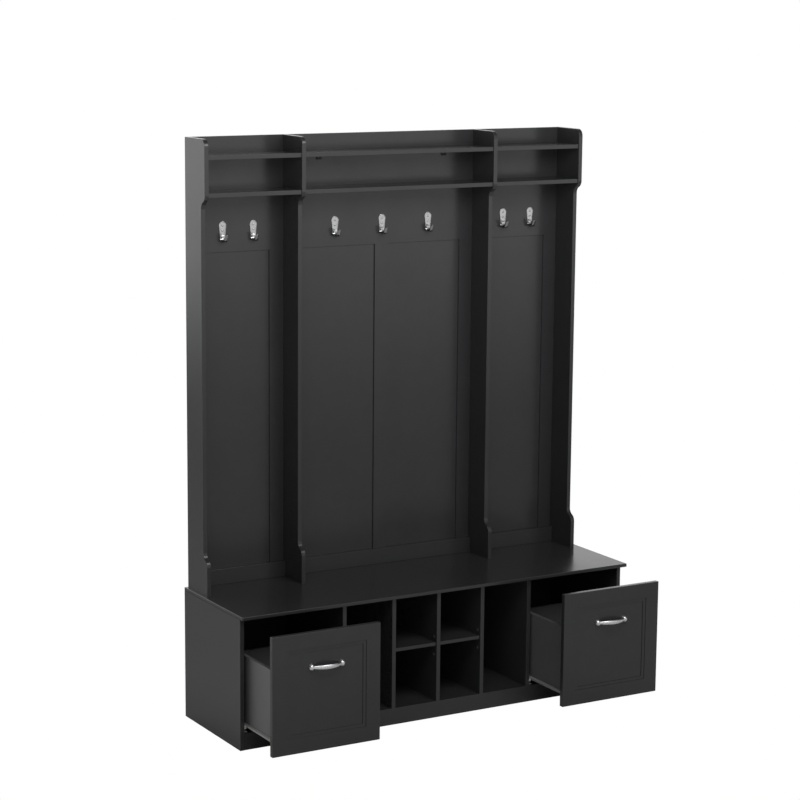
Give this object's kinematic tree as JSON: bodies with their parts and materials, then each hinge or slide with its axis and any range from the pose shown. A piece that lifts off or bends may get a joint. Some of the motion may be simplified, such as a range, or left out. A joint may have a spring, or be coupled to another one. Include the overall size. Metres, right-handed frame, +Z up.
{
  "type": "hall tree with hooks",
  "caption": "Hall tree with a bench base, two outer drawers, open shoe cubbies and tall bays, and a panelled hutch with shelves and coat hooks.",
  "frame": {"origin": "middle of the base's back lower edge, where the back meets the floor and the wall plane", "axes": "+X to the viewer's right as they face the front, +Y into the wall (the front faces -Y), +Z up"},
  "size_m": [1.539, 0.6855, 2],
  "materials": {
    "dark_board": "satin charcoal-black paint on board",
    "drawer_board": "satin charcoal-black paint on board",
    "back_board": "matt charcoal-black hardboard",
    "chrome": "polished chrome plate",
    "coated_steel": "white epoxy-coated rolled steel",
    "white_nylon": "moulded white nylon",
    "bright_steel": "zinc-plated steel",
    "black_steel": "black powder-coated steel"
  },
  "bodies": {
    "frame": {"back_panel_center": "dark_board", "back_panel_left": "dark_board", "back_panel_right": "dark_board", "base_back": "back_board", "base_side_left": "dark_board", "base_side_right": "dark_board", "bench_top": "dark_board", "bottom_panel": "dark_board", "cabinet_runners": "coated_steel", "cam_fasteners": "bright_steel", "coat_hooks_center": "chrome", "coat_hooks_left": "chrome", "coat_hooks_right": "chrome", "cubby_shelf_left": "dark_board", "cubby_shelf_right": "dark_board", "divider_left": "dark_board", "divider_right": "dark_board", "hutch_side_left": "dark_board", "hutch_side_right": "dark_board", "lower_rail_center": "dark_board", "lower_rail_left": "dark_board", "lower_rail_right": "dark_board", "lower_shelf_center": "dark_board", "lower_shelf_left": "dark_board", "lower_shelf_right": "dark_board", "partition_1": "dark_board", "partition_2": "dark_board", "partition_3": "dark_board", "partition_4": "dark_board", "partition_5": "dark_board", "pin_sleeves": "bright_steel", "plinth": "dark_board", "rear_rail": "dark_board", "shelf_pins": "bright_steel", "upper_shelf_center": "dark_board", "upper_shelf_left": "dark_board", "upper_shelf_right": "dark_board", "upright_screws": "bright_steel", "wall_brackets": "black_steel", "wood_screws": "bright_steel"},
    "left_front_wheels": {"bay_left_front_rollers": "white_nylon"},
    "right_front_wheels": {"bay_right_front_rollers": "white_nylon"},
    "drawer_left": {"drawer_left_back": "drawer_board", "drawer_left_bottom": "drawer_board", "drawer_left_front": "dark_board", "drawer_left_pull": "chrome", "drawer_left_pull_screws": "bright_steel", "drawer_left_runners": "coated_steel", "drawer_left_wall_inner": "drawer_board", "drawer_left_wall_outer": "drawer_board"},
    "left_rear_wheels": {"drawer_left_rear_rollers": "white_nylon"},
    "drawer_right": {"drawer_right_back": "drawer_board", "drawer_right_bottom": "drawer_board", "drawer_right_front": "dark_board", "drawer_right_pull": "chrome", "drawer_right_pull_screws": "bright_steel", "drawer_right_runners": "coated_steel", "drawer_right_wall_inner": "drawer_board", "drawer_right_wall_outer": "drawer_board"},
    "right_rear_wheels": {"drawer_right_rear_rollers": "white_nylon"}
  },
  "joints": [
    {"name": "left_drawer_slide", "type": "slide", "parent": "frame", "child": "drawer_left", "axis": [0, -1, 0], "range_m": [-0.214, 0.046]},
    {"name": "left_rear_wheel_turn", "type": "hinge", "parent": "drawer_left", "child": "left_rear_wheels", "pos_m": [-0.5623, -0.306, 0.0715], "axis": [1, 0, 0], "range_deg": [-1540, 335]},
    {"name": "left_front_wheel_turn", "type": "hinge", "parent": "frame", "child": "left_front_wheels", "pos_m": [-0.5623, -0.418, 0.0777], "axis": [1, 0, 0], "range_deg": [-1370, 300]},
    {"name": "right_drawer_slide", "type": "slide", "parent": "frame", "child": "drawer_right", "axis": [0, -1, 0], "range_m": [-0.214, 0.046]},
    {"name": "right_rear_wheel_turn", "type": "hinge", "parent": "drawer_right", "child": "right_rear_wheels", "pos_m": [0.5623, -0.306, 0.0715], "axis": [1, 0, 0], "range_deg": [-1540, 335]},
    {"name": "right_front_wheel_turn", "type": "hinge", "parent": "frame", "child": "right_front_wheels", "pos_m": [0.5623, -0.418, 0.0777], "axis": [1, 0, 0], "range_deg": [-1370, 300]}
  ],
  "couplings": [
    {"joint": "left_rear_wheel_turn", "follows": "left_drawer_slide", "rad_per_m": 125},
    {"joint": "left_front_wheel_turn", "follows": "left_drawer_slide", "rad_per_m": 111.11},
    {"joint": "right_rear_wheel_turn", "follows": "right_drawer_slide", "rad_per_m": 125},
    {"joint": "right_front_wheel_turn", "follows": "right_drawer_slide", "rad_per_m": 111.11}
  ]
}
